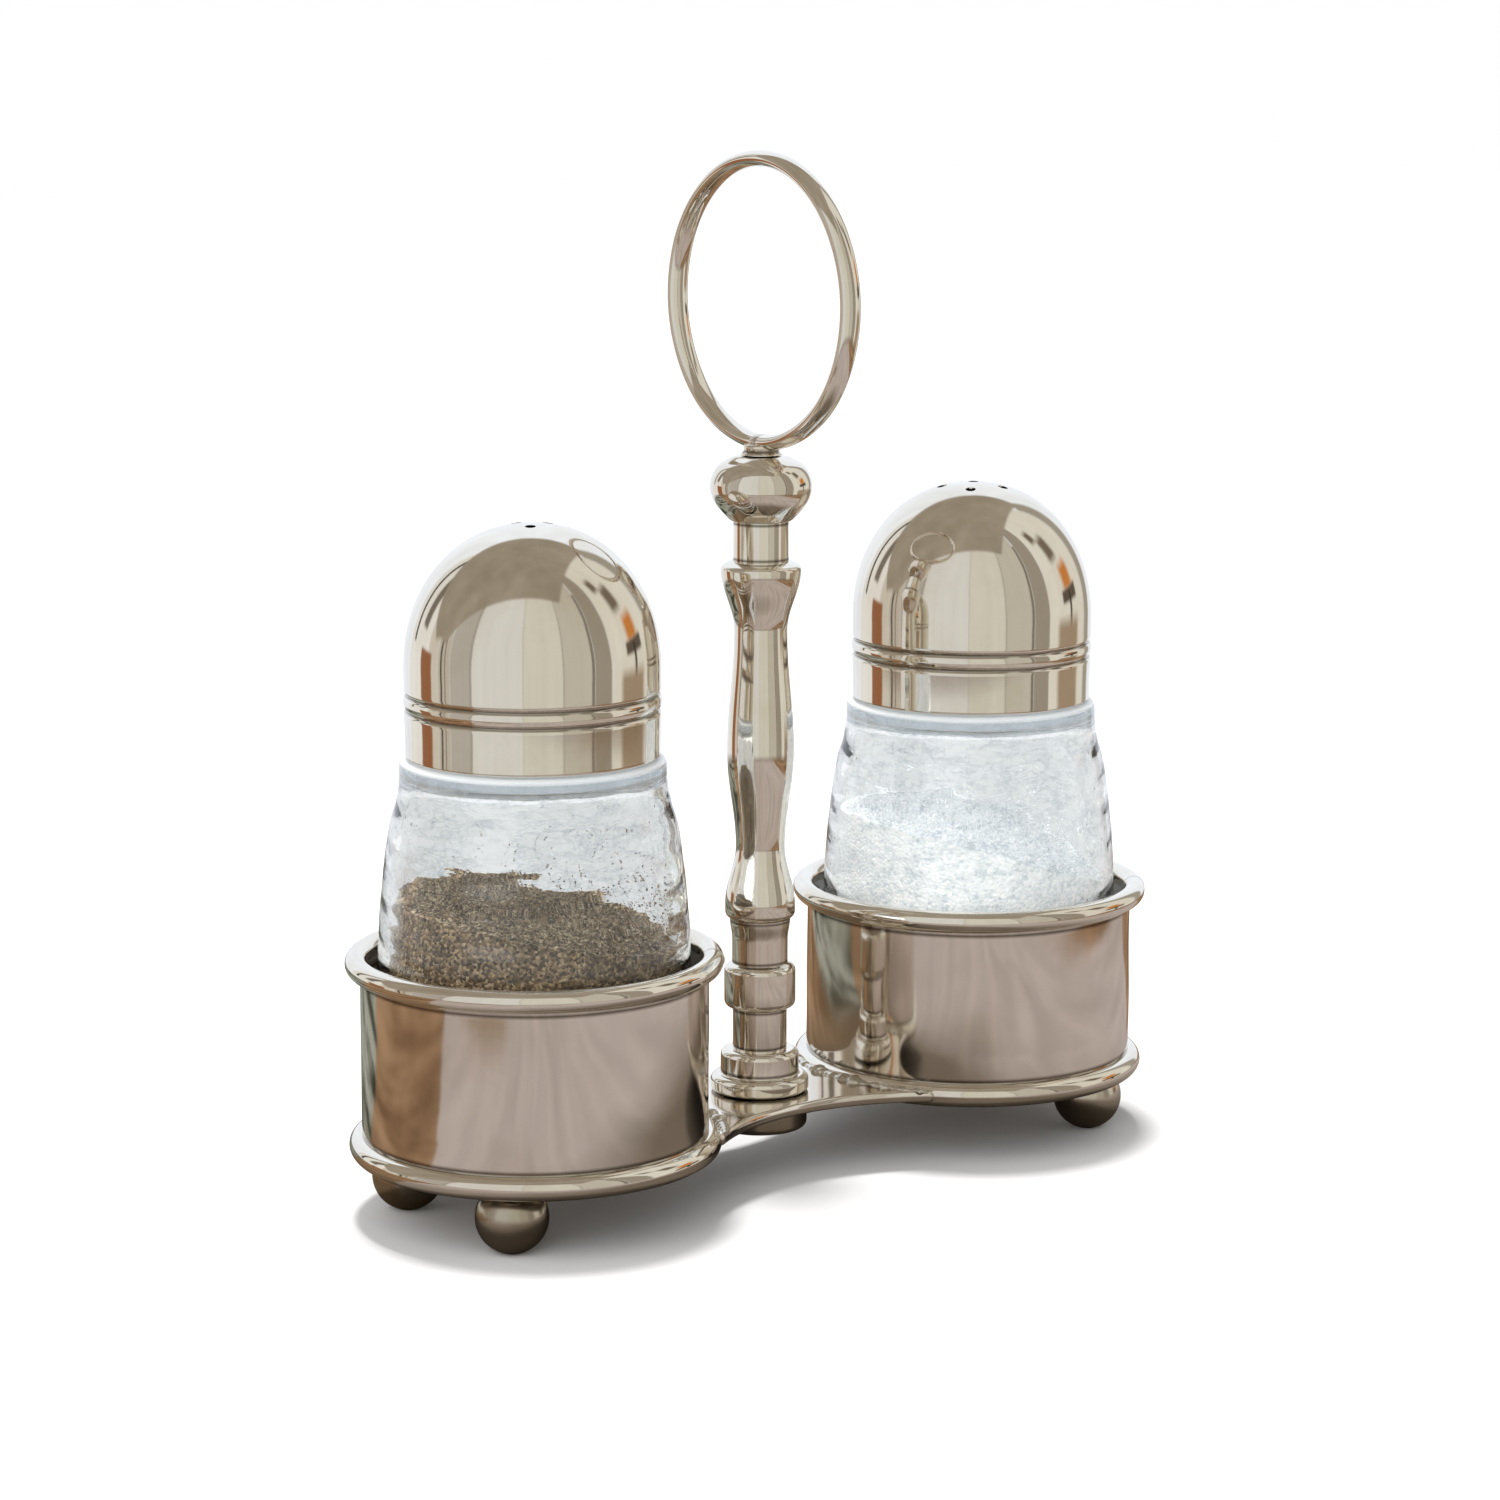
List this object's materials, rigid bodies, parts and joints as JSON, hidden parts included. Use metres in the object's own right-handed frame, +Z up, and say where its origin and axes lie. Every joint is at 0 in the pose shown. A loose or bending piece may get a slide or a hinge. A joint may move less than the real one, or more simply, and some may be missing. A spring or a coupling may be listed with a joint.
{
  "type": "salt and pepper shaker set",
  "caption": "Salt and pepper shakers of blown glass with threaded domed metal caps, standing in two round cups joined by a bridge plate with a turned post and ring handle.",
  "frame": {"origin": "on the table under the post, midway between the cups", "axes": "+X from the post to the salt cup, -X to the pepper cup, +Z up, -Y to the front"},
  "size_m": [0.1684, 0.0674, 0.1879],
  "materials": {
    "polished_nickel": "polished",
    "satin_nickel": "satin",
    "rod_steel": "drawn",
    "blown_glass": "rippled, hand blown",
    "ground_pepper": "coarse grains",
    "table_salt": "fine crystals",
    "seal_silicone": "matte",
    "liner_plastic": "moulded"
  },
  "bodies": {
    "caddy": {"pepper_cup": "polished_nickel", "salt_cup": "polished_nickel", "pepper_cup_rim": "polished_nickel", "salt_cup_rim": "polished_nickel", "pepper_base_ring": "polished_nickel", "salt_base_ring": "polished_nickel", "bridge_plate": "polished_nickel", "pepper_front_foot": "satin_nickel", "pepper_back_foot": "satin_nickel", "salt_front_foot": "satin_nickel", "salt_back_foot": "satin_nickel", "post_base": "polished_nickel", "post_column": "polished_nickel", "post_baluster": "polished_nickel", "post_neck": "polished_nickel", "post_knob": "polished_nickel", "ring_collar": "polished_nickel", "handle_ring": "polished_nickel", "tie_rod": "rod_steel", "base_nut": "satin_nickel"},
    "pepper_shaker": {"pepper_glass": "blown_glass", "pepper_fill": "ground_pepper"},
    "pepper_seal": {"pepper_cap_seal": "seal_silicone"},
    "pepper_cap": {"pepper_cap_liner": "liner_plastic", "pepper_cap_dome": "polished_nickel"},
    "salt_shaker": {"salt_glass": "blown_glass", "salt_fill": "table_salt"},
    "salt_seal": {"salt_cap_seal": "seal_silicone"},
    "salt_cap": {"salt_cap_liner": "liner_plastic", "salt_cap_dome": "polished_nickel"}
  },
  "joints": [
    {"name": "pepper_lift", "type": "slide", "parent": "caddy", "child": "pepper_shaker", "axis": [0, 0, 1], "range_m": [0, 0.06]},
    {"name": "pepper_cap_rise", "type": "slide", "parent": "pepper_shaker", "child": "pepper_seal", "axis": [0, 0, 1], "range_m": [0, 0.0085]},
    {"name": "pepper_cap_turn", "type": "hinge", "parent": "pepper_seal", "child": "pepper_cap", "pos_m": [-0.0505, 0, 0.09], "axis": [0, 0, 1], "range_deg": [0, 720]},
    {"name": "salt_lift", "type": "slide", "parent": "caddy", "child": "salt_shaker", "axis": [0, 0, 1], "range_m": [0, 0.06]},
    {"name": "salt_cap_rise", "type": "slide", "parent": "salt_shaker", "child": "salt_seal", "axis": [0, 0, 1], "range_m": [0, 0.0085]},
    {"name": "salt_cap_turn", "type": "hinge", "parent": "salt_seal", "child": "salt_cap", "pos_m": [0.0505, 0, 0.09], "axis": [0, 0, 1], "range_deg": [0, 720]}
  ],
  "couplings": [
    {"joint": "pepper_cap_rise", "follows": "pepper_cap_turn", "m_per_rad": 0.00067641},
    {"joint": "salt_cap_rise", "follows": "salt_cap_turn", "m_per_rad": 0.00067641}
  ]
}
